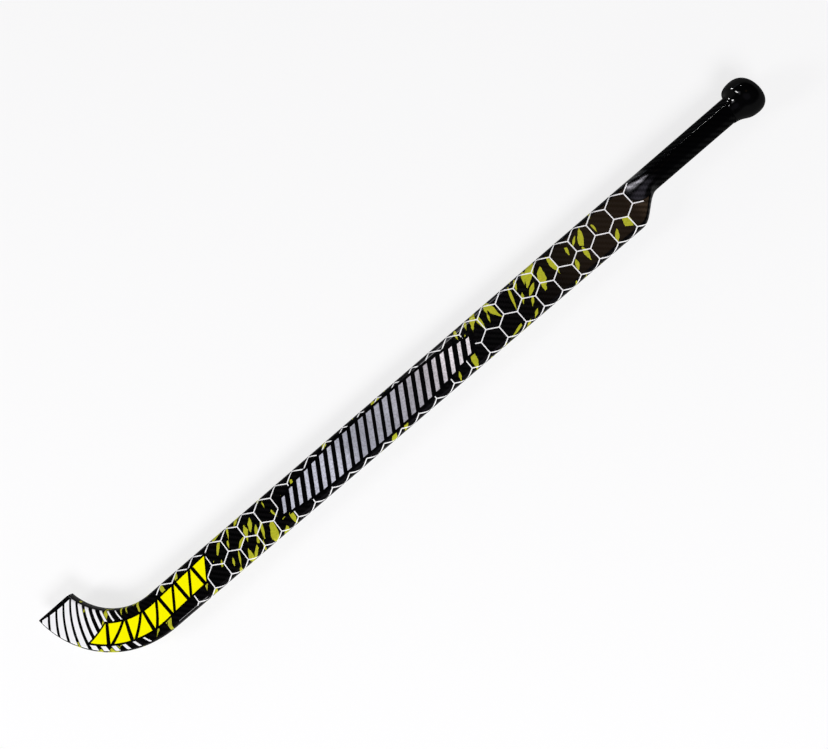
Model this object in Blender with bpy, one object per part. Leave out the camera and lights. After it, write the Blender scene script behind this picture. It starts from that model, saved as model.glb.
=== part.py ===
"""Goalkeeper's stick for roller-skate hockey: a moulded carbon blade with a turned-up toe, a round
handle and an end knob, built from two bonded half shells over a sandwich core.

The stick lies flat. X runs along the shaft towards the knob, Y points the way the toe turns up,
and Z is square to the face. Lengths are in metres. Inside the script a point of the stick is
(u, v, z): u along the centreline from where the bend starts, v across it, z from the mid-plane.
"""

import math

import bmesh
import bpy
from mathutils import Vector
from mathutils.geometry import interpolate_bezier

# Blade and shaft
blade_width = 0.0485
blade_thickness = 0.012
edge_radius = 0.004
straight_length = 0.675

# Turned-up toe: the blank runs on by a share of its bend, and is cut off square to the toe's rise
bend_radius = 0.105
toe_height = 0.0847
blank_overrun = 0.05

# Shoulder: the lower edge sweeps up to the handle while the face swells into its round
shoulder_length = 0.037
swell_delay = 0.005
swell_length = 0.038
swell_fillet = 0.005

# Handle, flush with the shaft's upper edge
handle_diameter = 0.027
handle_length = 0.102

# Knob: its length and its widest place are from the neck, and each pull is the share of its
# stretch by which the profile runs on straight before it turns
knob_diameter = 0.0438
knob_length = 0.0383
knob_widest = 0.0234
knob_lip = 0.0006
neck_pull = 0.55
barrel_pull = 0.62
shoulder_pull = 0.65
crown_pull = 0.67
socket_depth = 0.023

# Laminate and what it encloses
shell_wall = 0.0016
liner_wall = 0.0012
bond_gap = 0.0003
parting_flat = 0.0005
tow_width = 0.0045
rib_width = 0.0016
toe_insert_length = 0.085
core_joint = 0.30
shoulder_core_overrun = 0.012

# Plug that locates the knob
plug_length = 0.040
peg_diameter = 0.012
peg_length = 0.009
plug_chamfer = 0.001

# Facets
bend_steps = 20
shoulder_steps = 16
across_steps = 24
core_steps = 2
tow_steps = 5
round_steps = 48
curve_steps = 9

# Worked out from the sizes above
handle_radius = handle_diameter / 2
handle_axis = blade_width / 2 - handle_radius
handle_start = straight_length + max(shoulder_length, swell_delay + swell_length)
neck = straight_length + shoulder_length + handle_length
handle_end = neck + socket_depth
outer_bend = bend_radius + blade_width / 2
sweep = math.acos((bend_radius - toe_height) / outer_bend)
blank_end = -(1 + blank_overrun) * sweep * bend_radius
cavity_inset = shell_wall + bond_gap


def smooth(t):
    t = min(max(t, 0), 1)
    return t * t * (3 - 2 * t)


def along(u, v, z):
    """Point of the stick in space: the centreline bends round for negative u."""
    if u >= 0:
        return Vector((u, v, z))
    angle = -u / bend_radius
    radius = bend_radius - v
    return Vector((-radius * math.sin(angle), bend_radius - radius * math.cos(angle), z))


def edges(u, inset=0.0):
    """The lowest and highest v of the section, less an inset all round."""
    step = (blade_width - handle_diameter) * smooth((u - straight_length) / shoulder_length)
    return -blade_width / 2 + step + inset, blade_width / 2 - inset


def swell(u):
    """How far the section has turned from the flat blade, 0, to the round handle, 1."""
    return smooth((u - straight_length - swell_delay) / swell_length)


def half_height(u, v, inset=0.0):
    """Height of the section over the mid-plane: a flat fin with rounded edges, out of which the
    handle's round swells. The higher of the two counts, with a fillet where they are about level,
    and the fillet is widest half-way through the swelling."""
    low, high = edges(u, inset)
    share = swell(u)
    fin = blade_thickness / 2 - inset
    full_round = blade_thickness / 2 - parting_flat
    corner = edge_radius + (full_round - edge_radius) * share - inset
    past = max(corner - (v - low), corner - (high - v), 0)
    flat = fin - corner + math.sqrt(max(corner * corner - past * past, 0))

    inside = 1 - ((v - handle_axis) / (handle_radius - inset)) ** 2
    crown = blade_thickness / 2 + (handle_radius - blade_thickness / 2) * share - inset
    round_ = crown * math.sqrt(max(inside, 0))
    blend = swell_fillet * 4 * share * (1 - share) * (flat - fin + corner) / corner
    if inside <= 0 or blend <= 0:
        return max(flat, round_)
    closeness = max(blend - abs(flat - round_), 0) / blend
    return max(flat, round_) + closeness * closeness * blend / 4


def stations(start, end):
    """Places of the sections from start to end: close together where the shape changes."""
    places = {start, end}
    places.update(blank_end * k / bend_steps for k in range(bend_steps + 1))
    change = handle_start - straight_length
    places.update(straight_length + change * k / shoulder_steps for k in range(shoulder_steps + 1))
    return sorted(u for u in places if start <= u <= end)


def spread(low, high, steps):
    """Places across a section, closer together at its edges."""
    middle, half = (low + high) / 2, (high - low) / 2
    return [middle - half * math.cos(math.pi * k / steps) for k in range(steps + 1)]


def shell_ring(u, side):
    """One section through a half shell: out over its outside, and back along its inside."""
    ring = []
    seam = bond_gap / 2
    for inset, back in ((0.0, False), (shell_wall, True)):
        low, high = edges(u, inset)
        line = [(low, seam)]
        line += [(v, half_height(u, v, inset)) for v in spread(low, high, across_steps)]
        line.append((high, seam))
        ring += reversed(line) if back else line
    return [along(u, v, side * z) for v, z in ring]


def slice_ring(u, low, high, steps):
    """One section through a piece that fills the shells' cavity from low to high."""
    top = [(v, half_height(u, v, cavity_inset)) for v in spread(low, high, steps)]
    return [along(u, v, z) for v, z in top] + [along(u, v, -z) for v, z in reversed(top)]


def material(name, colour, roughness, metallic=0.0, coat=0.0):
    made = bpy.data.materials.new(name)
    made.use_nodes = True
    shader = made.node_tree.nodes["Principled BSDF"]
    shader.inputs["Base Color"].default_value = (*colour, 1)
    shader.inputs["Roughness"].default_value = roughness
    shader.inputs["Metallic"].default_value = metallic
    shader.inputs["Coat Weight"].default_value = coat
    return made


def add_piece(name, bm, look):
    """Names the finished mesh as one piece of the stick."""
    bmesh.ops.recalc_face_normals(bm, faces=bm.faces)
    mesh = bpy.data.meshes.new(name)
    bm.to_mesh(mesh)
    bm.free()
    mesh.shade_smooth()
    mesh.set_sharp_from_angle(angle=math.radians(40))
    mesh.materials.append(look)
    piece = bpy.data.objects.new(name, mesh)
    bpy.context.collection.objects.link(piece)
    piece.parent = stick
    return piece


def loft(rings):
    """Skins a closed body over the rings, with a flat face at each end. A skewed quad is split along
    its shorter diagonal, so that surfaces that lie one inside the other keep their gap."""
    bm = bmesh.new()
    loops = [[bm.verts.new(point) for point in ring] for ring in rings]
    for first, second in zip(loops, loops[1:]):
        for k in range(len(first)):
            following = (k + 1) % len(first)
            bm.faces.new((first[k], first[following], second[following], second[k]))
    bmesh.ops.triangulate(bm, faces=bm.faces, quad_method="SHORT_EDGE")
    bm.faces.new(loops[0])
    bm.faces.new(reversed(loops[-1]))
    return bm


def cut_toe(bm):
    """Cuts the blank off at the toe's end face, square to the toe's rise."""
    plane = Vector((0, toe_height, 0))
    everything = bm.verts[:] + bm.edges[:] + bm.faces[:]
    bmesh.ops.bisect_plane(
        bm, geom=everything, plane_co=plane, plane_no=(0, 1, 0), clear_outer=True, dist=1e-6
    )
    bmesh.ops.holes_fill(bm, edges=[edge for edge in bm.edges if edge.is_boundary])
    return bm


def turn(profile):
    """Turns a profile of (u, radius), from pole to pole, round the handle's axis."""
    bm = bmesh.new()
    points = [bm.verts.new((u, handle_axis + radius, 0)) for u, radius in profile]
    line = [bm.edges.new(pair) for pair in zip(points, points[1:])]
    bmesh.ops.spin(
        bm,
        geom=points + line,
        cent=(0, handle_axis, 0),
        axis=(1, 0, 0),
        angle=math.tau,
        steps=round_steps,
        use_merge=True,
    )
    bmesh.ops.remove_doubles(bm, verts=bm.verts, dist=1e-6)
    return bm


def curve(start, start_pull, end_pull, end):
    """A Bezier stretch of a turned profile, without its first point."""
    points = interpolate_bezier(
        Vector(start), Vector(start_pull), Vector(end_pull), Vector(end), curve_steps + 1
    )
    return [(point.x, point.y) for point in points[1:]]


def make_shells():
    for name, side in (("front_shell", 1), ("back_shell", -1)):
        rings = [shell_ring(u, side) for u in stations(blank_end, handle_end)]
        add_piece(name, cut_toe(loft(rings)), carbon)


def make_slice(name, start, end, low_of, high_of, steps, look):
    """A piece of the sandwich, from the inset edges or offsets that low_of and high_of give."""
    rings = [slice_ring(u, low_of(u), high_of(u), steps) for u in stations(start, end)]
    bm = loft(rings)
    if along(start, -blade_width / 2, 0).y > toe_height:
        cut_toe(bm)
    add_piece(name, bm, look)


def make_sandwich():
    """The toe insert, and behind it tow, core, rib, core and tow side by side."""

    def low_edge(u):
        return edges(u, cavity_inset)[0]

    def high_edge(u):
        return edges(u, cavity_inset)[1]

    insert_end = toe_insert_length - sweep * bend_radius
    make_slice("toe_insert", blank_end, insert_end, low_edge, high_edge, across_steps, ash)

    start = insert_end + bond_gap
    end = straight_length - bond_gap
    rib = rib_width / 2
    make_slice("centre_rib", start, end, lambda u: -rib, lambda u: rib, 1, fibre)
    make_slice("lower_edge_tow", start, end, low_edge, lambda u: low_edge(u) + tow_width, tow_steps, fibre)
    make_slice("upper_edge_tow", start, end, lambda u: high_edge(u) - tow_width, high_edge, tow_steps, fibre)

    def low_tow(u):
        return low_edge(u) + tow_width + bond_gap

    def high_tow(u):
        return high_edge(u) - tow_width - bond_gap

    side = rib + bond_gap
    for where, first, last in (("toe", start, core_joint - bond_gap), ("shaft", core_joint, end)):
        make_slice(f"lower_{where}_core", first, last, low_tow, lambda u: -side, core_steps, foam)
        make_slice(f"upper_{where}_core", first, last, lambda u: side, high_tow, core_steps, foam)

    make_slice(
        "shoulder_core",
        straight_length,
        handle_start + shoulder_core_overrun - bond_gap,
        low_edge,
        high_edge,
        across_steps,
        foam,
    )


def make_handle_liner():
    outer = handle_radius - shell_wall - bond_gap
    inner = outer - liner_wall
    start = handle_start + shoulder_core_overrun
    bm = turn([(start, inner), (start, outer), (handle_end, outer), (handle_end, inner), (start, inner)])
    add_piece("handle_liner", bm, fibre)


def make_plug():
    bore = handle_radius - shell_wall - bond_gap - liner_wall
    radius = bore - bond_gap
    peg = peg_diameter / 2
    tip = handle_end + peg_length
    bm = turn([
        (tip, 0),
        (tip, peg - plug_chamfer),
        (tip - plug_chamfer, peg),
        (handle_end, peg),
        (handle_end, radius),
        (handle_end - plug_length + plug_chamfer, radius),
        (handle_end - plug_length, radius - plug_chamfer),
        (handle_end - plug_length, 0),
    ])
    add_piece("knob_plug", bm, ash)


def make_knob():
    """A mushroom knob: a hollow neck fillet, a barrel, a domed end, and a stepped blind socket."""
    lip = handle_radius + bond_gap + knob_lip
    radius = knob_diameter / 2
    widest = neck + knob_widest
    pole = neck + knob_length
    rise = curve(
        (neck, lip),
        (neck + neck_pull * knob_widest, lip),
        (widest - barrel_pull * knob_widest, radius),
        (widest, radius),
    )
    dome = curve(
        (widest, radius),
        (widest + shoulder_pull * (pole - widest), radius),
        (pole, crown_pull * radius),
        (pole, 0),
    )
    socket = handle_radius + bond_gap
    floor = handle_end + bond_gap
    hole = peg_diameter / 2 + bond_gap
    bottom = handle_end + peg_length + bond_gap
    inside = [(bottom, 0), (bottom, hole), (floor, hole), (floor, socket), (neck, socket)]
    bm = turn(inside + [(neck, lip)] + rise + dome)
    add_piece("knob", bm, coated)


for old in list(bpy.data.objects):
    bpy.data.objects.remove(old, do_unlink=True)

# The origin lies under the middle of the stick, on what it is laid on
toe_reach = outer_bend * math.sin(min(sweep, math.pi / 2))
stick = bpy.data.objects.new("stick", None)
bpy.context.collection.objects.link(stick)
stick.location = (
    (toe_reach - neck - knob_length) / 2,
    (blade_width / 2 - toe_height) / 2,
    knob_diameter / 2,
)

carbon = material("carbon_laminate", (0.012, 0.011, 0.012), 0.12, coat=1.0)
fibre = material("bare_fibre", (0.03, 0.03, 0.033), 0.5)
foam = material("core_foam", (0.82, 0.76, 0.55), 0.9)
ash = material("ash_wood", (0.62, 0.45, 0.27), 0.6)
coated = material("coated_knob", (0.006, 0.006, 0.007), 0.1, coat=1.0)

make_shells()
make_sandwich()
make_handle_liner()
make_plug()
make_knob()
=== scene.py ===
import math

import bmesh
import bpy
from mathutils import Euler, Matrix, Vector, noise
from mathutils.geometry import interpolate_bezier


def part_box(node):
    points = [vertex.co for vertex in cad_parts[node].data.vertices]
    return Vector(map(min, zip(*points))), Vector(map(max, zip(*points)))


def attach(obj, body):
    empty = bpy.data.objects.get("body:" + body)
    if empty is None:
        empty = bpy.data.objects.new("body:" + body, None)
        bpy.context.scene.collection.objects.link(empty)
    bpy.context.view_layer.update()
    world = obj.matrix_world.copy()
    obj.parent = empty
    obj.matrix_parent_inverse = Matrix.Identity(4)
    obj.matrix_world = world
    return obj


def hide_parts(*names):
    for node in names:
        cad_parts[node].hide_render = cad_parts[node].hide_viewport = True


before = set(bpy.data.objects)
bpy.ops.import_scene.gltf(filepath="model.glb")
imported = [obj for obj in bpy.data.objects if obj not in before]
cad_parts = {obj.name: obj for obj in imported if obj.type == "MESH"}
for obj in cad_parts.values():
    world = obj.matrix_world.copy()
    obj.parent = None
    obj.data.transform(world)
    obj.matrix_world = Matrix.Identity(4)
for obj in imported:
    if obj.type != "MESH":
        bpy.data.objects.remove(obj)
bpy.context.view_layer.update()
print("frame loaded:", len(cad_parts), "nodes")


# helpers for the shader trees

def put(tree, kind, **settings):
    node = tree.nodes.new(kind)
    for name, value in settings.items():
        setattr(node, name, value)
    return node


def feed(tree, socket, value):
    if isinstance(value, bpy.types.NodeSocket):
        tree.links.new(value, socket)
    else:
        socket.default_value = value


def calc(tree, operation, *values, clamp=False):
    node = put(tree, "ShaderNodeMath", operation=operation, use_clamp=clamp)
    for socket, value in zip(node.inputs, values):
        feed(tree, socket, value)
    return node.outputs[0]


def vec(tree, operation, *values):
    node = put(tree, "ShaderNodeVectorMath", operation=operation)
    for socket, value in zip(node.inputs, values):
        feed(tree, socket, value)
    single = operation in ("LENGTH", "DOT_PRODUCT", "DISTANCE")
    return node.outputs["Value" if single else "Vector"]


def times(tree, first, *others):
    for other in others:
        first = calc(tree, "MULTIPLY", first, other)
    return first


def scaled(tree, vector, factor):
    result = vec(tree, "SCALE", vector)
    feed(tree, result.node.inputs["Scale"], factor)
    return result


def split(tree, vector):
    node = put(tree, "ShaderNodeSeparateXYZ")
    tree.links.new(vector, node.inputs[0])
    return node.outputs[0], node.outputs[1], node.outputs[2]


def join(tree, x, y, z=0.0):
    node = put(tree, "ShaderNodeCombineXYZ")
    for socket, value in zip(node.inputs, (x, y, z)):
        feed(tree, socket, value)
    return node.outputs[0]


def ramp(tree, value, start, end, low=0.0, high=1.0):
    node = put(tree, "ShaderNodeMapRange", interpolation_type="SMOOTHSTEP")
    for socket, given in zip(node.inputs, (value, start, end, low, high)):
        feed(tree, socket, given)
    return node.outputs[0]


def mixColour(tree, share, first, second):
    node = put(tree, "ShaderNodeMix", data_type="RGBA")
    for socket, value in ((node.inputs[0], share), (node.inputs[6], first), (node.inputs[7], second)):
        feed(tree, socket, value)
    return node.outputs[2]


def mixValue(tree, share, first, second):
    node = put(tree, "ShaderNodeMix", data_type="FLOAT")
    for socket, value in ((node.inputs[0], share), (node.inputs[2], first), (node.inputs[3], second)):
        feed(tree, socket, value)
    return node.outputs[0]


def cloud(tree, vector, scale, detail=2.0, roughness=0.5):
    node = put(tree, "ShaderNodeTexNoise", noise_dimensions="3D")
    feed(tree, node.inputs["Vector"], vector)
    feed(tree, node.inputs["Scale"], scale)
    feed(tree, node.inputs["Detail"], detail)
    feed(tree, node.inputs["Roughness"], roughness)
    return node.outputs[0]


def newGroup(name, inputs, outputs):
    group = bpy.data.node_groups.new(name, "ShaderNodeTree")
    for socket, kind, start in inputs:
        made = group.interface.new_socket(name=socket, in_out="INPUT", socket_type="NodeSocket" + kind)
        if start is not None:
            made.default_value = start
    for socket, kind in outputs:
        group.interface.new_socket(name=socket, in_out="OUTPUT", socket_type="NodeSocket" + kind)
    return group, put(group, "NodeGroupInput").outputs, put(group, "NodeGroupOutput").inputs


def use(tree, group, **values):
    node = put(tree, "ShaderNodeGroup", node_tree=group)
    for name, value in values.items():
        feed(tree, node.inputs[name], value)
    return node.outputs


def newMaterial(name, **constants):
    made = bpy.data.materials.new(name)
    made.use_nodes = True
    tree = made.node_tree
    shader = tree.nodes["Principled BSDF"]
    for socket, value in constants.items():
        shader.inputs[socket.replace("_", " ")].default_value = value
    return made, tree, shader


def addBump(tree, shader, height, distance, strength=1.0):
    bump = put(tree, "ShaderNodeBump")
    bump.inputs["Strength"].default_value = strength
    bump.inputs["Distance"].default_value = distance
    tree.links.new(height, bump.inputs["Height"])
    tree.links.new(bump.outputs[0], shader.inputs["Normal"])


# shader groups, all in millimetres: u runs along the stick and v across it

toMillimetres = 1000.0
thinBlur = 0.12  # half the width of the blur on the edges of lines and chips
blockBlur = 0.1  # the same for the larger shapes


def makeTwill():
    group, given, out = newGroup(
        "twillWeave",
        [("Vector", "Vector", None), ("Tow", "Float", 2.0)],
        [("Height", "Float"), ("Warp", "Float")],
    )
    inTows = vec(group, "DIVIDE", given["Vector"], join(group, given["Tow"], given["Tow"], 1.0))
    x, y, _ = split(group, inTows)
    step = calc(group, "ADD", calc(group, "FLOOR", x), calc(group, "FLOOR", y))
    step = calc(group, "WRAP", step, 4.0, 0.0)
    warp = calc(group, "LESS_THAN", step, 1.5)  # over two tows and under two
    alongTow = calc(group, "SINE", times(group, calc(group, "FRACT", y), math.pi))
    acrossTow = calc(group, "SINE", times(group, calc(group, "FRACT", x), math.pi))
    group.links.new(mixValue(group, warp, acrossTow, alongTow), out["Height"])
    group.links.new(warp, out["Warp"])
    return group


def makeHoneycomb():
    group, given, out = newGroup(
        "honeycomb",
        [("Vector", "Vector", None), ("Pitch", "Float", 25.0), ("Line", "Float", 1.3)],
        [("Mask", "Float")],
    )
    half = times(group, given["Pitch"], 0.5)
    box = join(group, half, times(group, half, math.sqrt(3)))
    back = scaled(group, box, -1.0)
    first = vec(group, "WRAP", given["Vector"], box, back)
    second = vec(group, "WRAP", vec(group, "SUBTRACT", given["Vector"], box), box, back)
    nearer = calc(group, "LESS_THAN", vec(group, "LENGTH", first), vec(group, "LENGTH", second))
    pick = put(group, "ShaderNodeMix", data_type="VECTOR")
    feed(group, pick.inputs[0], nearer)
    feed(group, pick.inputs[4], second)
    feed(group, pick.inputs[5], first)
    local = vec(group, "ABSOLUTE", pick.outputs[1])
    slanted = vec(group, "DOT_PRODUCT", local, (0.5, math.sqrt(3) / 2, 0.0))
    reach = calc(group, "MAXIMUM", slanted, split(group, local)[0])
    edge = calc(group, "SUBTRACT", half, reach)
    thin = times(group, given["Line"], 0.5)
    low = calc(group, "SUBTRACT", thin, thinBlur)
    high = calc(group, "ADD", thin, thinBlur)
    group.links.new(ramp(group, edge, low, high, 1.0, 0.0), out["Mask"])
    return group


leaf = {
    "leanScale": 0.45,
    "sharedLean": 1.8,  # neighbours lean alike
    "ownLean": 0.9,
    "leanFrom": 0.3,
    "smallest": 0.6,
    "sizeRange": 0.6,
    "taper": 1.5,
    "skew": 0.45,  # one end is blunter
    "wobbleScale": 0.14,
    "wobble": 0.42,  # of the leaf's width
    "clusterScale": 0.33,
    "clusters": (0.4, 0.6, 0.1, 1.8),
}


def makeChips():
    # one leaf in each cell of a scattered grid, kept only where the clusters are
    group, given, out = newGroup(
        "leafChips",
        [
            ("Vector", "Vector", None),
            ("Cell", "Float", 24.0),
            ("Length", "Float", 24.0),
            ("Width", "Float", 7.0),
            ("Share", "Float", 0.5),
        ],
        [("Mask", "Float")],
    )
    place = vec(group, "DIVIDE", given["Vector"], join(group, given["Cell"], given["Cell"], 1.0))
    cells = put(group, "ShaderNodeTexVoronoi", voronoi_dimensions="2D", feature="F1")
    cells.inputs["Scale"].default_value = 1.0
    feed(group, cells.inputs["Vector"], place)
    spot = cells.outputs["Position"]
    chance, turn, plump = split(group, cells.outputs["Color"])
    local = scaled(group, vec(group, "SUBTRACT", place, spot), given["Cell"])

    lean = times(group, cloud(group, spot, leaf["leanScale"], detail=0.0), leaf["sharedLean"])
    angle = calc(group, "ADD", lean, times(group, turn, leaf["ownLean"]))
    turned = put(group, "ShaderNodeVectorRotate", rotation_type="Z_AXIS")
    feed(group, turned.inputs["Vector"], local)
    feed(group, turned.inputs["Angle"], calc(group, "SUBTRACT", leaf["leanFrom"], angle))
    x, y, _ = split(group, turned.outputs[0])

    size = calc(group, "ADD", times(group, plump, leaf["sizeRange"]), leaf["smallest"])
    along = calc(group, "DIVIDE", x, times(group, given["Length"], 0.5, size))
    tapered = calc(group, "POWER", calc(group, "ABSOLUTE", along), leaf["taper"])
    skewed = calc(group, "ADD", times(group, along, leaf["skew"]), 1.0)
    girth = times(group, calc(group, "SUBTRACT", 1.0, tapered), skewed, size, given["Width"], 0.5)
    ragged = cloud(group, given["Vector"], leaf["wobbleScale"], roughness=0.6)
    wobble = times(group, calc(group, "SUBTRACT", ragged, 0.5), leaf["wobble"], given["Width"])
    aside = calc(group, "ABSOLUTE", calc(group, "ADD", y, wobble))
    shape = ramp(group, calc(group, "SUBTRACT", aside, girth), -thinBlur, thinBlur, 1.0, 0.0)

    clusters = ramp(group, cloud(group, spot, leaf["clusterScale"], detail=0.0), *leaf["clusters"])
    kept = calc(group, "LESS_THAN", chance, times(group, clusters, given["Share"]))
    group.links.new(times(group, shape, kept), out["Mask"])
    return group


def makeBars():
    # slanted bars in a row, widest and tallest in the middle; Distance is to the nearest bar's edge
    group, given, out = newGroup(
        "slantedBars",
        [
            ("Vector", "Vector", None),
            ("Count", "Float", 24.0),
            ("Pitch", "Float", 11.6),
            ("Widest", "Float", 7.0),
            ("Narrowest", "Float", 4.4),
            ("Tallest", "Float", 35.0),
            ("Shortest", "Float", 15.0),
            ("Slant", "Float", 0.6),
        ],
        [("Distance", "Float"), ("Field", "Float")],
    )
    x, y, _ = split(group, given["Vector"])
    slid = calc(group, "SUBTRACT", x, times(group, y, given["Slant"]))
    last = times(group, calc(group, "SUBTRACT", given["Count"], 1.0), 0.5)
    step = calc(group, "ROUND", calc(group, "ADD", calc(group, "DIVIDE", slid, given["Pitch"]), last))
    step = calc(group, "MAXIMUM", calc(group, "SUBTRACT", step, last), times(group, last, -1.0))
    step = calc(group, "MINIMUM", step, last)
    offset = calc(group, "SUBTRACT", slid, times(group, step, given["Pitch"]))
    far = calc(group, "DIVIDE", calc(group, "ABSOLUTE", step), last)
    width = mixValue(group, far, given["Widest"], given["Narrowest"])
    height = mixValue(group, calc(group, "POWER", far, 3.0), given["Tallest"], given["Shortest"])
    aside = calc(group, "SUBTRACT", calc(group, "ABSOLUTE", offset), times(group, width, 0.5))
    above = calc(group, "SUBTRACT", calc(group, "ABSOLUTE", y), times(group, height, 0.5))
    aside = times(group, aside, 0.86)  # square to the slant
    group.links.new(calc(group, "MAXIMUM", aside, above), out["Distance"])
    # the field round the bars reaches further along the row than across it
    group.links.new(calc(group, "MAXIMUM", times(group, aside, 0.5), above), out["Field"])
    return group


def makeDarts():
    # a row of triangles that point up and down in turn
    group, given, out = newGroup(
        "dartRow",
        [
            ("Vector", "Vector", None),
            ("Count", "Float", 6.0),
            ("Base", "Float", 17.6),
            ("Height", "Float", 23.0),
            ("Gap", "Float", 4.3),
            ("Slant", "Float", 0.3),
        ],
        [("Distance", "Float")],
    )
    x, y, _ = split(group, given["Vector"])
    slid = calc(group, "SUBTRACT", x, times(group, y, given["Slant"]))
    pitch = calc(group, "ADD", given["Base"], times(group, given["Gap"], 2.0))
    last = calc(group, "SUBTRACT", given["Count"], 1.0)
    nearest = None
    for way, shift in ((1.0, 0.0), (-1.0, 0.5)):
        placed = calc(group, "SUBTRACT", slid, times(group, pitch, shift))
        step = calc(group, "ROUND", calc(group, "DIVIDE", placed, pitch))
        step = calc(group, "MINIMUM", calc(group, "MAXIMUM", step, 0.0), last)
        offset = calc(group, "SUBTRACT", placed, times(group, step, pitch))
        rise = calc(group, "DIVIDE", times(group, y, way), given["Height"])
        room = times(group, calc(group, "SUBTRACT", 0.5, rise), given["Base"], 0.5)
        aside = calc(group, "SUBTRACT", calc(group, "ABSOLUTE", offset), room)
        above = calc(group, "SUBTRACT", calc(group, "ABSOLUTE", y), times(group, given["Height"], 0.5))
        each = calc(group, "MAXIMUM", times(group, aside, 0.9), above)  # square to the sloping sides
        nearest = each if nearest is None else calc(group, "MINIMUM", nearest, each)
    group.links.new(nearest, out["Distance"])
    return group


scuff = {
    "smearScale": 0.035,
    "fineScale": 0.9,
    "fineStretch": (0.4, 2.5, 1.0),
}


def makeScuffs():
    group, given, out = newGroup(
        "fineScuffs",
        [("Vector", "Vector", None), ("Base", "Float", 0.05), ("Spread", "Float", 0.06)],
        [("Roughness", "Float")],
    )
    smears = cloud(group, given["Vector"], scuff["smearScale"], detail=3.0)
    stretched = vec(group, "MULTIPLY", given["Vector"], scuff["fineStretch"])
    both = times(group, smears, cloud(group, stretched, scuff["fineScale"]), given["Spread"])
    group.links.new(calc(group, "ADD", both, given["Base"]), out["Roughness"])
    return group


twillWeave = makeTwill()
honeycomb = makeHoneycomb()
leafChips = makeChips()
slantedBars = makeBars()
dartRow = makeDarts()
fineScuffs = makeScuffs()
print("shader groups made")


samePoint = 1e-6  # points closer than this are one
hair = 1e-5  # how near to the socket's wall counts as on it
sharpAngle = math.radians(50)  # edges bent further than this aren't smoothed


# the stick's laminate: its outline, as the frame has it

laminate = {
    "bladeWidth": 0.0485,
    "bladeThickness": 0.012,
    "edgeRadius": 0.004,
    "straightLength": 0.675,
    "bendRadius": 0.105,
    "toeHeight": 0.0847,
    "overrun": 0.05,  # the blank runs on by this share of its bend before the toe is cut
    "shoulderLength": 0.037,
    "swellDelay": 0.005,
    "swellLength": 0.038,
    "swellFillet": 0.005,
    "handleDiameter": 0.027,
    "handleLength": 0.102,
    "socketDepth": 0.023,
    "partingFlat": 0.0005,
    "wall": 0.0016,
    "seam": 0.00004,  # the line left between the two halves
    "stationStep": 0.004,
    "shoulderStep": 0.0009,
    "handleStep": 0.002,
    "fineLength": 0.046,  # how far the fine steps run past the shoulder's start
    "handleWaves": 0.00003,  # the wrapped laminate is never quite even
    "waveScale": (90, 160, 7),
    "wavesFrom": (0.03, 0.02),  # past the shoulder's start, and over which length
    "acrossSteps": 64,
    "bakeRows": 4,
    "rowFill": 0.94,
    "rowDrop": 0.002,
}
halfWidth = laminate["bladeWidth"] / 2
halfThickness = laminate["bladeThickness"] / 2
handleRadius = laminate["handleDiameter"] / 2
handleAxis = halfWidth - handleRadius
neck = laminate["straightLength"] + laminate["shoulderLength"] + laminate["handleLength"]
skinEnd = neck + laminate["socketDepth"]
sweep = math.acos((laminate["bendRadius"] - laminate["toeHeight"]) / (laminate["bendRadius"] + halfWidth))
skinStart = -(1 + laminate["overrun"]) * sweep * laminate["bendRadius"]

# the shaft's own (u, v, z) sits in the frame where the knob's neck and axis say
knobLow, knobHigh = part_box("knob")
knobMiddle = (knobLow + knobHigh) / 2
toWorld = Vector((knobLow.x - neck, knobMiddle.y - handleAxis, knobMiddle.z))


def smooth(t):
    t = min(max(t, 0), 1)
    return t * t * (3 - 2 * t)


def edgesAt(u):
    rise = smooth((u - laminate["straightLength"]) / laminate["shoulderLength"])
    return -halfWidth + rise * 2 * (halfWidth - handleRadius), halfWidth


def skinHeight(u, v):
    # a flat fin with rounded edges, out of which the handle's round swells
    low, high = edgesAt(u)
    share = smooth((u - laminate["straightLength"] - laminate["swellDelay"]) / laminate["swellLength"])
    edge = laminate["edgeRadius"]
    corner = edge + (halfThickness - laminate["partingFlat"] - edge) * share
    past = max(corner - (v - low), corner - (high - v), 0)
    flat = halfThickness - corner + math.sqrt(max(corner * corner - past * past, 0))
    inside = 1 - ((v - handleAxis) / handleRadius) ** 2
    crown = halfThickness + (handleRadius - halfThickness) * share
    roundTop = crown * math.sqrt(max(inside, 0))
    blend = laminate["swellFillet"] * 4 * share * (1 - share) * (flat - halfThickness + corner) / corner
    if inside <= 0 or blend <= 0:
        return max(flat, roundTop)
    closeness = max(blend - abs(flat - roundTop), 0) / blend
    return max(flat, roundTop) + closeness * closeness * blend / 4


def placeInFrame(u, v, z):
    if u >= 0:
        return Vector((u, v, z)) + toWorld
    radius = laminate["bendRadius"]
    angle, arm = -u / radius, radius - v
    return Vector((-arm * math.sin(angle), radius - arm * math.cos(angle), z)) + toWorld


def skinStations():
    # close together where the shape changes quickly, and one on each border of the baked rows
    span = (skinEnd - skinStart) / laminate["bakeRows"]
    shoulder, handle = laminate["straightLength"], laminate["straightLength"] + laminate["fineLength"]
    stations = []
    for row in range(laminate["bakeRows"]):
        u, last = skinStart + span * row, skinStart + span * (row + 1)
        while u < last - samePoint:
            stations.append(u)
            step = laminate["stationStep"] if u < shoulder else laminate["shoulderStep"]
            u = min(u + (step if u < handle else laminate["handleStep"]), last)
    return stations + [skinEnd], span


def sectionPoint(u, j):
    # j counts round the half section from the seam at the low edge to the seam at the high one
    steps = laminate["acrossSteps"]
    low, high = edgesAt(u)
    if j in (0, steps + 2):
        return (high if j else low), laminate["seam"] / 2
    v = (low + high) / 2 - (high - low) / 2 * math.cos(math.pi * (j - 1) / steps)
    return v, skinHeight(u, v)


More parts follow.
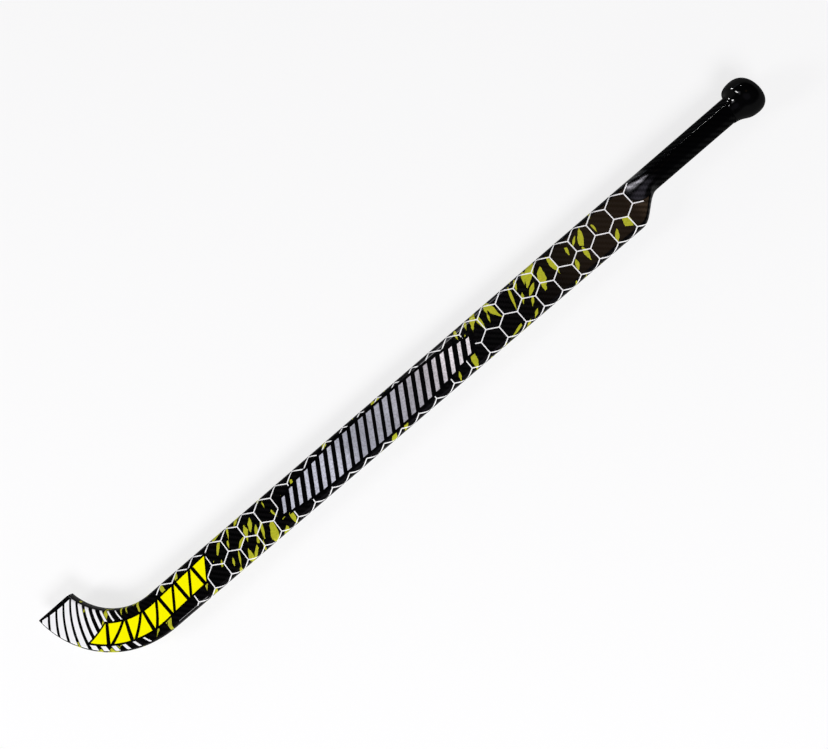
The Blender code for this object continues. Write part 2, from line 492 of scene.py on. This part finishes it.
def makeSkin(name, side, look, replaced):
    stations, span = skinStations()
    across = laminate["acrossSteps"] + 2
    bm = bmesh.new()
    bmesh.ops.create_grid(bm, x_segments=len(stations) - 1, y_segments=across, size=0.5)
    sections = []
    for u in stations:
        line = [sectionPoint(u, j) for j in range(across + 1)]
        walked = [0.0]
        for (v0, z0), (v1, z1) in zip(line, line[1:]):
            walked.append(walked[-1] + math.hypot(v1 - v0, z1 - z0))
        middle = across // 2
        sections.append([(v, z, w - walked[middle] + line[middle][0]) for (v, z), w in zip(line, walked)])

    printed = bm.loops.layers.uv.new("print")
    baked = bm.loops.layers.uv.new("OFBake")
    spots = {}
    for vert in bm.verts:
        k = round((vert.co.x + 0.5) * (len(stations) - 1))
        j = round((vert.co.y + 0.5) * across)
        v, z, arc = sections[k][j]
        spots[vert] = (stations[k], arc)
        spot = Vector((stations[k], v, side)) * Vector(laminate["waveScale"])
        wave = noise.noise(spot) * laminate["handleWaves"]
        begin, length = laminate["wavesFrom"]
        wave *= smooth((stations[k] - laminate["straightLength"] - begin) / length)
        z += wave * min(z / handleRadius, 1)
        vert.co = placeInFrame(stations[k], v, side * z)
    for face in bm.faces:
        row = int((sum(spots[vert][0] for vert in face.verts) / len(face.verts) - skinStart) // span)
        for loop in face.loops:
            u, arc = spots[loop.vert]
            loop[printed].uv = (u, arc)
            column = (u - skinStart - row * span) / span
            height = (arc - laminate["rowDrop"]) / span * laminate["rowFill"]
            height += (row + 0.5) / laminate["bakeRows"]
            loop[baked].uv = (0.5 + (column - 0.5) * laminate["rowFill"], height)

    # the toe is cut off square to its rise
    cut = Vector((0, laminate["toeHeight"], 0)) + toWorld
    everything = bm.verts[:] + bm.edges[:] + bm.faces[:]
    bmesh.ops.bisect_plane(
        bm,
        geom=everything,
        plane_co=cut,
        plane_no=(0, 1, 0),
        clear_outer=True,
        dist=samePoint,
    )
    bmesh.ops.recalc_face_normals(bm, faces=bm.faces)
    bm.normal_update()
    if sum(face.normal.z * face.calc_area() for face in bm.faces) * side < 0:
        bmesh.ops.reverse_faces(bm, faces=bm.faces)
    outside = set(bm.verts)
    bmesh.ops.solidify(bm, geom=bm.faces, thickness=laminate["wall"])
    for face in bm.faces:
        around = [loop for loop in face.loops if loop.vert in outside and loop.link_loop_next.vert in outside]
        if len(around) != 1 or len(face.verts) != 4:
            continue
        # a rim face, whose maps get the wall's width beyond the edge
        loop = around[0]
        edge = loop.link_loop_next[printed].uv - loop[printed].uv
        step = Vector((-edge.y, edge.x)).normalized() * laminate["wall"] * side
        for far in (loop.link_loop_next.link_loop_next, loop.link_loop_prev):
            far[printed].uv += step
            far[baked].uv += step / span * laminate["rowFill"]
    return finishPiece(name, bm, look, replaced)


def finishPiece(name, bm, look, replaced):
    mesh = bpy.data.meshes.new(name)
    bm.to_mesh(mesh)
    bm.free()
    mesh.shade_smooth()
    mesh.set_sharp_from_angle(angle=sharpAngle)
    mesh.materials.append(look)
    piece = bpy.data.objects.new(name, mesh)
    bpy.context.scene.collection.objects.link(piece)
    if mesh.uv_layers:
        mesh.uv_layers["print"].active = True
        mesh.uv_layers["print"].active_render = True
    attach(piece, "root")
    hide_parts(replaced)
    print("made", name, len(mesh.polygons), "faces")
    return piece


# print and clear coat over the twill

# where four numbers belong to a ramp, they are its start and end and its values there
printLook = {
    "tow": 2.0,
    "handleBlack": (700.0, 730.0, 0.0, 0.85),
    "pitch": 25.03,
    "line": 1.15,
    "hexagonAt": (569.5, 8.96),
    "combSlant": 0.8,
    "combStart": 22.0,  # along u and the slant's share of v
    "combEnd": 692.0,
    "white": (0.90, 0.90, 0.91, 1),
    "combWhite": (0.98, 0.98, 0.98, 1),
    "lime": (0.42, 0.48, 0.024, 1),
    "olive": (0.53, 0.49, 0.032, 1),
    "yellow": (0.98, 0.93, 0.0, 1),
    "tintScale": 0.11,
    "wearScale": 0.5,
    "wear": (0.3, 0.65, 0.82, 1.04),
    "chipsEnd": (685.0, 692.0, 1.0, 0.0),
    "layerSlope": 0.7,  # a layer's shift across is this share of its shift along
    "chipLayers": [  # cell, length, width, share and shift
        (24.0, 34.0, 7.8, 0.60, 319.0),
        (13.0, 16.0, 4.0, 0.26, 431.0),
        (21.0, 28.0, 3.2, 0.36, 211.0),
    ],
    "fewChips": (625.0, 672.0, 0.36, 0.06),
    "crowds": [  # along u: empty, full, full, empty, and by how much
        (-110.0, -60.0, -25.0, 20.0, 0.6),
        (70.0, 110.0, 150.0, 185.0, 1.25),
        (455.0, 515.0, 580.0, 640.0, 1.15),
    ],
    "faintLines": [(12.0, 56.0, -21.8), (286.0, 474.0, 19.6)],  # from, to and at which v
    "faintLine": (0.15, 0.4, 0.3, 0.0),
    "stripesFrom": -150.0,
    "stripePitch": 11.5,
    "stripeSlant": 0.75,
    "stripeWidth": (1.5, 11.0, 8.0, 1.2),  # over the stripe's number
    "lastStripe": 9.5,
    "stripesMiddle": 0.5,
    "stripesHalf": 22.4,
    "stripesStart": -139.5,
    "stripesRake": 0.31,
    "stripeKeyline": (0.7, 0.9, 1.0, 0.0),
    "barsAt": (323.0, 0.5),
    "barField": (2.7, 3.0, 1.0, 0.0),
    # the foil's paler end, its large patches and its dimmer middle are painted reflection
    "paler": (310.0, 450.0),
    "grainScale": 2.5,
    "grain": (0.3, 0.7, 0.9, 1.04),
    "patchScale": 0.03,
    "patches": (0.35, 0.75, 1.0, 0.72),
    "rubScale": 0.35,
    "rubbed": (0.36, 0.60, 0.66, 1.0),
    "dimReflection": (262.0, 305.0, 1.14, 0.66),
    "brightReflection": (400.0, 438.0, 0.0, 0.44),
    "foilMetal": (300.0, 460.0, 0.3, 0.10),
    "dartsAt": (-76.0, 0.5),
    "dartClimb": 0.045,
    "dartKeyline": (2.2, 2.4, 1.0, 0.0),
    "silver": (0.78, 0.80, 0.90, 1),
    "paleSilver": (0.98, 0.92, 0.94, 1),
    # the twill is the laminate's own; its lighter warp and darker weft tows are painted sheen
    "warpTow": (0.0032, 0.0030, 0.0032, 1),
    "weftTow": (0.0007, 0.0007, 0.0008, 1),
    "black": (0.0008, 0.0008, 0.0010, 1),
    "coatRoughness": 0.14,
    "bladeCoat": (0.24, 0.265),  # on the weft and on the warp
    "swellCoat": (1.7, 2.9),  # times the blade's
    "swellFrom": (676.0, 690.0),
    "handleCoat": (0.015, 0.06),
    "handleFrom": (700.0, 716.0),
    "roughness": 0.3,
    "smears": 0.2,
    "weaveDepth": 0.00012,
    "weaveStrength": 0.6,
    "inkedWeave": 0.25,
}


def makeCarbon(name, seed):
    look = printLook
    made, tree, shader = newMaterial(name, Coat_Roughness=look["coatRoughness"], Specular_IOR_Level=0.0)
    uv = put(tree, "ShaderNodeUVMap", uv_map="print")
    flat = scaled(tree, uv.outputs[0], toMillimetres)
    u, v, _ = split(tree, flat)

    weave = use(tree, twillWeave, Vector=flat, Tow=look["tow"])
    # painted sheen: the warp tows lighter than the weft
    colour = mixColour(tree, weave["Warp"], look["weftTow"], look["warpTow"])
    colour = mixColour(tree, ramp(tree, u, *look["handleBlack"]), colour, look["black"])

    # lime chips: large, small and slim
    chipColour = mixColour(tree, cloud(tree, flat, look["tintScale"]), look["lime"], look["olive"])
    crowd = ramp(tree, u, *look["fewChips"])
    for first, full, last, gone, share in look["crowds"]:
        rising, falling = ramp(tree, u, first, full, 0.0, share), ramp(tree, u, last, gone, 1.0, 0.0)
        crowd = calc(tree, "ADD", crowd, times(tree, rising, falling))
    chips = None
    for cell, length, width, share, shift in look["chipLayers"]:
        spread = vec(tree, "ADD", flat, (seed + shift, shift * look["layerSlope"], 0.0))
        share = times(tree, crowd, share)
        one = use(tree, leafChips, Vector=spread, Cell=cell, Length=length, Width=width, Share=share)["Mask"]
        chips = one if chips is None else calc(tree, "MAXIMUM", chips, one)
    chips = times(tree, chips, ramp(tree, u, *look["chipsEnd"]))
    worn = ramp(tree, cloud(tree, flat, look["wearScale"], detail=3.0), *look["wear"])
    colour = mixColour(tree, chips, colour, scaled(tree, chipColour, worn))

    # white honeycomb
    x, y = look["hexagonAt"]
    spot = vec(tree, "SUBTRACT", flat, (x, y, 0.0))
    comb = use(tree, honeycomb, Vector=spot, Pitch=look["pitch"], Line=look["line"])
    slanted = calc(tree, "ADD", u, times(tree, v, look["combSlant"]))
    begun = calc(tree, "GREATER_THAN", slanted, look["combStart"])
    comb = times(tree, comb["Mask"], begun, calc(tree, "LESS_THAN", u, look["combEnd"]))
    colour = mixColour(tree, comb, colour, look["combWhite"])

    # faint white lines along the face near its edges, over parts of its length
    for first, last, at in look["faintLines"]:
        inside = times(tree, calc(tree, "GREATER_THAN", u, first), calc(tree, "LESS_THAN", u, last))
        near = calc(tree, "ABSOLUTE", calc(tree, "SUBTRACT", v, at))
        faint = times(tree, inside, ramp(tree, near, *look["faintLine"]))
        colour = mixColour(tree, faint, colour, look["white"])

    # white stripes that thin out from the toe, inside a dark border
    slid = calc(tree, "SUBTRACT", u, look["stripesFrom"])
    slid = calc(tree, "ADD", slid, times(tree, v, look["stripeSlant"]))
    stripe = calc(tree, "DIVIDE", slid, look["stripePitch"])
    number = calc(tree, "FLOOR", stripe)
    width = ramp(tree, number, *look["stripeWidth"])
    middle = calc(tree, "ABSOLUTE", calc(tree, "SUBTRACT", calc(tree, "FRACT", stripe), 0.5))
    aside = calc(tree, "SUBTRACT", times(tree, middle, look["stripePitch"]), times(tree, width, 0.5))
    aside = times(tree, aside, 0.8)  # square to the slant
    across = calc(tree, "ABSOLUTE", calc(tree, "SUBTRACT", v, look["stripesMiddle"]))
    stripes = calc(tree, "MAXIMUM", aside, calc(tree, "SUBTRACT", across, look["stripesHalf"]))
    before = calc(tree, "SUBTRACT", look["stripesStart"], u)
    before = calc(tree, "ADD", before, times(tree, v, look["stripesRake"]))
    stripes = calc(tree, "MAXIMUM", stripes, before)
    atToe = calc(tree, "LESS_THAN", number, look["lastStripe"])
    keyline = times(tree, ramp(tree, stripes, *look["stripeKeyline"]), atToe)
    stripes = times(tree, ramp(tree, stripes, -blockBlur, blockBlur, 1.0, 0.0), atToe)
    colour = mixColour(tree, keyline, colour, look["black"])
    colour = mixColour(tree, stripes, colour, look["white"])

    # silver foil bars in a black field
    x, y = look["barsAt"]
    bars = use(tree, slantedBars, Vector=vec(tree, "SUBTRACT", flat, (x, y, 0.0)))
    colour = mixColour(tree, ramp(tree, bars["Field"], *look["barField"]), colour, look["black"])
    foil = ramp(tree, bars["Distance"], -blockBlur, blockBlur, 1.0, 0.0)
    # painted sheen on the foil's own silver: it grows paler along the row and has large dim patches
    paintedSheen = mixColour(tree, ramp(tree, u, *look["paler"]), look["silver"], look["paleSilver"])
    patches = ramp(tree, cloud(tree, flat, look["patchScale"], detail=3.0), *look["patches"])
    grain = ramp(tree, cloud(tree, flat, look["grainScale"]), *look["grain"])
    rubbed = ramp(tree, cloud(tree, flat, look["rubScale"], detail=4.0, roughness=0.7), *look["rubbed"])
    # painted reflection: the foil is dimmer along the middle of the row and brighter towards its end
    tone = calc(tree, "ADD", ramp(tree, u, *look["dimReflection"]), ramp(tree, u, *look["brightReflection"]))
    colour = mixColour(tree, foil, colour, scaled(tree, paintedSheen, times(tree, patches, grain, rubbed, tone)))

    # yellow darts with a black keyline round the bend
    x, y = look["dartsAt"]
    climbing = join(tree, u, calc(tree, "SUBTRACT", v, times(tree, u, look["dartClimb"])))
    darts = use(tree, dartRow, Vector=vec(tree, "SUBTRACT", climbing, (x, y, 0.0)))["Distance"]
    colour = mixColour(tree, ramp(tree, darts, *look["dartKeyline"]), colour, look["black"])
    yellow = ramp(tree, darts, -blockBlur, blockBlur, 1.0, 0.0)
    colour = mixColour(tree, yellow, colour, look["yellow"])
    tree.links.new(colour, shader.inputs["Base Color"])

    inked = calc(tree, "MAXIMUM", calc(tree, "MAXIMUM", comb, stripes), calc(tree, "MAXIMUM", yellow, chips))
    bare = calc(tree, "SUBTRACT", 1.0, calc(tree, "MAXIMUM", inked, foil), clamp=True)
    scuffs = use(tree, fineScuffs, Vector=flat, Base=look["roughness"], Spread=look["smears"])
    tree.links.new(scuffs["Roughness"], shader.inputs["Roughness"])
    coat = mixValue(tree, weave["Warp"], *look["bladeCoat"])
    swell = mixValue(tree, weave["Warp"], *look["swellCoat"])
    coat = times(tree, coat, ramp(tree, u, *look["swellFrom"], 1.0, swell))  # glossiest on the swell
    onHandle = mixValue(tree, weave["Warp"], *look["handleCoat"])
    coat = mixValue(tree, ramp(tree, u, *look["handleFrom"]), coat, onHandle)
    tree.links.new(coat, shader.inputs["Coat Weight"])
    metal = times(tree, foil, ramp(tree, u, *look["foilMetal"]))
    tree.links.new(metal, shader.inputs["Metallic"])
    height = times(tree, weave["Height"], mixValue(tree, bare, look["inkedWeave"], 1.0))
    addBump(tree, shader, height, look["weaveDepth"], look["weaveStrength"])
    return made


carbonFront = makeCarbon("carbonFront", 0.0)
carbonBack = makeCarbon("carbonBack", 1300.0)  # the same print with its own scatter of chips
makeSkin("front_skin", 1, carbonFront, "front_shell")
makeSkin("back_skin", -1, carbonBack, "back_shell")


# the knob

knob = {
    "diameter": 0.0435,
    "start": -0.0005,  # all along the handle, from the frame's neck
    "widest": 0.0233,
    "end": 0.0375,
    "lipRadius": 0.0142,
    "neckPull": 0.55,
    "neckLift": 0.0017,
    "barrelPull": 0.50,
    "shoulderPull": 0.67,
    "crownPull": 0.74,
    "socketGap": 0.00008,
    "floorGap": 0.0003,
    "lipRound": 0.0003,
    "rake": 0.087,
    "lateLip": 0.73,  # the coat starts later on the side of the upper edge
    "lateRun": 0.0139,
    "lateBlend": 0.003,
    "unevenness": 0.00010,
    "unevenScale": 130,
    "stepsAlong": 26,
    "stepsRound": 144,
}


def makeKnob(look):
    radius = knob["diameter"] / 2
    socket = handleRadius + knob["socketGap"]
    floor = laminate["socketDepth"] + knob["floorGap"]
    start, widest, end = knob["start"], knob["widest"], knob["end"]
    first, lip = start + knob["lipRound"], knob["lipRadius"]

    def curve(*points):
        made = interpolate_bezier(*(Vector(point) for point in points), knob["stepsAlong"] + 1)
        return [(point.x, point.y) for point in made[1:]]

    profile = [(floor, 0.0), (floor, socket), (first, socket), (start, (socket + lip) / 2), (first, lip)]
    profile += curve(
        (first, lip),
        (start + knob["neckPull"] * (widest - start), lip + knob["neckLift"]),
        (widest - knob["barrelPull"] * (widest - start), radius),
        (widest, radius),
    )
    profile += curve(
        (widest, radius),
        (widest + knob["shoulderPull"] * (end - widest), radius),
        (end, knob["crownPull"] * radius),
        (end, 0.0),
    )
    bm = bmesh.new()
    points = [bm.verts.new((x, r, 0)) for x, r in profile]
    line = [bm.edges.new(pair) for pair in zip(points, points[1:])]
    bmesh.ops.spin(
        bm,
        geom=points + line,
        cent=(0, 0, 0),
        axis=(1, 0, 0),
        angle=math.tau,
        steps=knob["stepsRound"],
        use_merge=True,
    )
    bmesh.ops.remove_doubles(bm, verts=bm.verts, dist=samePoint)
    bmesh.ops.recalc_face_normals(bm, faces=bm.faces)
    for vert in bm.verts:
        away = Vector((0, vert.co.y, vert.co.z))
        if away.length < socket + hair and first + hair < vert.co.x < floor + hair:
            continue  # the socket stays true
        if away.length > lip:  # a dipped coat is never quite even
            rise = noise.noise(vert.co * knob["unevenScale"]) * knob["unevenness"]
            vert.co += away.normalized() * rise
        share = min((vert.co.x - start) / knob["lateRun"], 1)
        late = (vert.co.y + math.hypot(vert.co.y, knob["lateBlend"])) / 2
        vert.co.x += knob["lateLip"] * late * (1 - share) - knob["rake"] * vert.co.y
    bmesh.ops.translate(bm, verts=bm.verts, vec=Vector((knobLow.x, knobMiddle.y, knobMiddle.z)))
    return finishPiece("end_knob", bm, look, "knob")


knobLook = {
    "coat": {"Coat_Weight": 0.08, "Coat_Roughness": 0.03, "Specular_IOR_Level": 0.0},
    "patchScale": 0.12,
    "black": (0.0006, 0.0006, 0.0007, 1),
    "paler": (0.0020, 0.0019, 0.0021, 1),
    "roughness": 0.12,
    "smears": 0.2,
    "bumpScale": 0.35,
    "bumpDepth": 0.0003,
    "bumpStrength": 0.3,
}


def makeKnobCoat():
    look = knobLook
    made, tree, shader = newMaterial("knobCoat", **look["coat"])
    place = scaled(tree, put(tree, "ShaderNodeTexCoord").outputs["Object"], toMillimetres)
    patches = cloud(tree, place, look["patchScale"], detail=3.0)
    tree.links.new(mixColour(tree, patches, look["black"], look["paler"]), shader.inputs["Base Color"])
    scuffs = use(tree, fineScuffs, Vector=place, Base=look["roughness"], Spread=look["smears"])
    tree.links.new(scuffs["Roughness"], shader.inputs["Roughness"])
    addBump(tree, shader, cloud(tree, place, look["bumpScale"]), look["bumpDepth"], look["bumpStrength"])
    return made


makeKnob(makeKnobCoat())


# what the shells enclose keeps its shape from the frame

foam = {
    "roughness": 0.9,
    "cellScale": 1600.0,
    "pale": (0.86, 0.80, 0.60, 1),
    "dark": (0.62, 0.55, 0.37, 1),
    "bumpDepth": 0.0002,
}


def makeFoam():
    made, tree, shader = newMaterial("rigidFoam", Roughness=foam["roughness"])
    place = put(tree, "ShaderNodeTexCoord").outputs["Object"]
    cells = put(tree, "ShaderNodeTexVoronoi", feature="F1")
    feed(tree, cells.inputs["Vector"], place)
    cells.inputs["Scale"].default_value = foam["cellScale"]
    tone = mixColour(tree, cells.outputs["Distance"], foam["pale"], foam["dark"])
    tree.links.new(tone, shader.inputs["Base Color"])
    addBump(tree, shader, cells.outputs["Distance"], foam["bumpDepth"])
    return made


fibre = {
    "metallic": 0.2,
    "strandScale": (30.0, 2600.0, 2600.0),  # drawn out along x
    "dark": (0.012, 0.012, 0.014, 1),
    "pale": (0.06, 0.06, 0.065, 1),
    "roughness": (0.3, 0.7, 0.35, 0.6),
    "bumpDepth": 0.0001,
}


def makeFibre():
    made, tree, shader = newMaterial("bareFibre", Metallic=fibre["metallic"])
    place = put(tree, "ShaderNodeTexCoord").outputs["Object"]
    strands = cloud(tree, vec(tree, "MULTIPLY", place, fibre["strandScale"]), 1.0, detail=3.0)
    tree.links.new(mixColour(tree, strands, fibre["dark"], fibre["pale"]), shader.inputs["Base Color"])
    tree.links.new(ramp(tree, strands, *fibre["roughness"]), shader.inputs["Roughness"])
    addBump(tree, shader, strands, fibre["bumpDepth"])
    return made


ash = {
    "ringScale": (6.0, 110.0, 60.0),
    "ringDistortion": 3.0,
    "poreScale": (26.0, 420.0, 420.0),  # drawn out along x
    "pores": (0.55, 0.7),
    "pale": (0.60, 0.42, 0.24, 1),
    "dark": (0.40, 0.25, 0.12, 1),
    "poreColour": (0.27, 0.16, 0.08, 1),
    "roughness": (0.3, 0.7, 0.5, 0.75),
    "bumpDepth": 0.0002,
}


def makeAsh():
    made, tree, shader = newMaterial("sawnAsh")
    place = put(tree, "ShaderNodeTexCoord").outputs["Object"]
    rings = put(tree, "ShaderNodeTexWave", wave_type="BANDS", bands_direction="Y")
    feed(tree, rings.inputs["Vector"], vec(tree, "MULTIPLY", place, ash["ringScale"]))
    rings.inputs["Scale"].default_value = 1.0
    rings.inputs["Distortion"].default_value = ash["ringDistortion"]
    rings.inputs["Detail"].default_value = 2.0
    pores = cloud(tree, vec(tree, "MULTIPLY", place, ash["poreScale"]), 1.0, detail=4.0)
    tone = mixColour(tree, rings.outputs["Fac"], ash["pale"], ash["dark"])
    tone = mixColour(tree, ramp(tree, pores, *ash["pores"]), tone, ash["poreColour"])
    tree.links.new(tone, shader.inputs["Base Color"])
    tree.links.new(ramp(tree, pores, *ash["roughness"]), shader.inputs["Roughness"])
    addBump(tree, shader, pores, ash["bumpDepth"])
    return made


innerLooks = {"foam": makeFoam(), "fibre": makeFibre(), "ash": makeAsh()}
innerPieces = {
    "foam": ["lower_toe_core", "upper_toe_core", "lower_shaft_core", "upper_shaft_core", "shoulder_core"],
    "fibre": ["lower_edge_tow", "upper_edge_tow", "centre_rib", "handle_liner"],
    "ash": ["toe_insert", "knob_plug"],
}
for look, names in innerPieces.items():
    for name in names:
        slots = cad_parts[name].data.materials
        slots.clear()
        slots.append(innerLooks[look])
print("inner pieces finished")


# studio

studio = {
    "floorSize": 14.0,
    "floorColour": (0.95, 0.95, 0.955, 1),
    "floorGlow": (1.2, 3.5, 0.75, 1.0),  # the far floor meets the walls
    "walls": (0.18, 0.52, 1.0, 0.0),  # over the height
    "ceiling": (0.012, 0.012, 0.015, 1),
    "patches": [  # colour, direction and how near to it
        ((1.6, 1.02, 0.60, 1), (0.20, 0.135, 0.97), (0.9945, 0.999)),
        ((0.8, 0.74, 0.95, 1), (-0.16, -0.30, 0.94), (0.905, 0.985)),
    ],
}
lilac = (0.93, 0.90, 1.0)
blue = (0.70, 0.82, 1.0)
lamps = {  # a lamp is for light or for glints, not for both
    "keyPanel": {"at": (-0.6, -2.1, 2.3), "size": (1.6, 1.2), "power": 72.0, "glint": False},
    "sidePanel": {"at": (-2.6, 1.0, 1.6), "size": (1.0, 1.0), "power": 40.0, "glint": False},
    "backStrip": {"at": (0.4, 2.4, 0.85), "size": (2.2, 0.10), "power": 3.0, "colour": blue},
    "handleStrip": {
        "at": (0.955, 1.08, 0.935),
        "aim": (0.43, -0.015, 0.035),
        "size": (0.05, 0.03),
        "power": 4.4,
    },
    "shoulderPanel": {
        "at": (0.103, 0.395, 0.9085),
        "aim": (0.340, 0.085, -0.0015),
        "size": (0.36, 0.26),
        "power": 1.8,
        "colour": lilac,
    },
    "shoulderGlow": {
        "at": (0.15, 0.50, 0.78),
        "aim": (0.340, -0.015, 0.03),
        "size": (0.17, 0.30),
        "power": 1.55,
        "colour": lilac,
    },
}
glints = {  # narrow beams for the bright points on the knob's side
    "aim": (0.466, -0.012, 0.04),
    "ways": {
        "glintHigh": (-0.41, 0.54, 0.73),
        "glintMiddle": (-0.37, 0.66, 0.65),
        "glintLow": (-0.18, 0.96, 0.20),
    },
    "size": (0.07, 0.2),
    "power": 0.1,
    "spread": 12,
}


def makeFloor():
    bm = bmesh.new()
    bmesh.ops.create_grid(bm, x_segments=1, y_segments=1, size=studio["floorSize"] / 2)
    mesh = bpy.data.meshes.new("floor")
    bm.to_mesh(mesh)
    bm.free()
    floor = bpy.data.objects.new("floor", mesh)
    bpy.context.scene.collection.objects.link(floor)
    made = bpy.data.materials.new("paleFloor")
    made.use_nodes = True
    tree = made.node_tree
    tree.nodes.clear()
    matt = put(tree, "ShaderNodeBsdfDiffuse")
    matt.inputs["Color"].default_value = studio["floorColour"]
    glow = put(tree, "ShaderNodeEmission")
    path = put(tree, "ShaderNodeLightPath")
    seen = calc(tree, "MAXIMUM", path.outputs["Is Camera Ray"], path.outputs["Is Glossy Ray"])
    seen = calc(tree, "MAXIMUM", seen, path.outputs["Is Transmission Ray"])
    blend = put(tree, "ShaderNodeMixShader")
    distance = vec(tree, "LENGTH", put(tree, "ShaderNodeTexCoord").outputs["Object"])
    feed(tree, blend.inputs[0], times(tree, seen, ramp(tree, distance, *studio["floorGlow"])))
    tree.links.new(matt.outputs[0], blend.inputs[1])
    tree.links.new(glow.outputs[0], blend.inputs[2])
    tree.links.new(blend.outputs[0], put(tree, "ShaderNodeOutputMaterial").inputs[0])
    mesh.materials.append(made)


def makeWorld():
    world = bpy.data.worlds.new("studioRoom")
    world.use_nodes = True
    tree = world.node_tree
    tree.nodes.clear()
    way = put(tree, "ShaderNodeTexCoord").outputs["Generated"]
    height = split(tree, way)[2]
    ceiling = studio["ceiling"]
    for patch, towards, edge in studio["patches"]:
        near = vec(tree, "DOT_PRODUCT", way, tuple(Vector(towards).normalized()))
        ceiling = mixColour(tree, ramp(tree, near, *edge), ceiling, patch)
    path = put(tree, "ShaderNodeLightPath")
    seen = calc(tree, "MAXIMUM", path.outputs["Is Camera Ray"], path.outputs["Is Transmission Ray"])
    walls = calc(tree, "MAXIMUM", ramp(tree, height, *studio["walls"]), seen)
    room = mixColour(tree, walls, ceiling, (1.0, 1.0, 1.0, 1))
    light = put(tree, "ShaderNodeBackground")
    tree.links.new(room, light.inputs[0])
    tree.links.new(light.outputs[0], put(tree, "ShaderNodeOutputWorld").inputs[0])
    bpy.context.scene.world = world


def makeLamp(name, at, size, power, aim=(0, 0, 0), colour=(1, 1, 1), glint=True, spread=180):
    data = bpy.data.lights.new(name, "AREA")
    data.spread = math.radians(spread)
    data.shape = "RECTANGLE"
    data.size, data.size_y = size
    data.energy = power
    data.color = colour
    lamp = bpy.data.objects.new(name, data)
    lamp.location = at
    lamp.rotation_euler = (Vector(aim) - Vector(at)).to_track_quat("-Z", "Y").to_euler()
    lamp.visible_glossy = glint
    lamp.visible_diffuse = not glint
    bpy.context.scene.collection.objects.link(lamp)


makeFloor()
makeWorld()
for name, settings in lamps.items():
    makeLamp(name, **settings)
target = Vector(glints["aim"])
for name, way in glints["ways"].items():
    makeLamp(name, target + Vector(way), glints["size"], glints["power"], target, spread=glints["spread"])
print("studio made")


# camera

view = {
    "place": (0.1146, -0.1495, 0.8759),
    "turn": (3.236, 10.153, -40.069),  # degrees
    "lens": 34.78,
}
cameraData = bpy.data.cameras.new("camera")
cameraData.lens = view["lens"]
cameraData.sensor_width = 36.0
cameraData.clip_start = 0.01
camera = bpy.data.objects.new("camera", cameraData)
turn = Euler([math.radians(angle) for angle in view["turn"]], "XYZ").to_matrix().to_4x4()
camera.matrix_world = Matrix.Translation(view["place"]) @ turn
bpy.context.scene.collection.objects.link(camera)
bpy.context.scene.camera = camera
bpy.context.scene.view_settings.view_transform = "Standard"
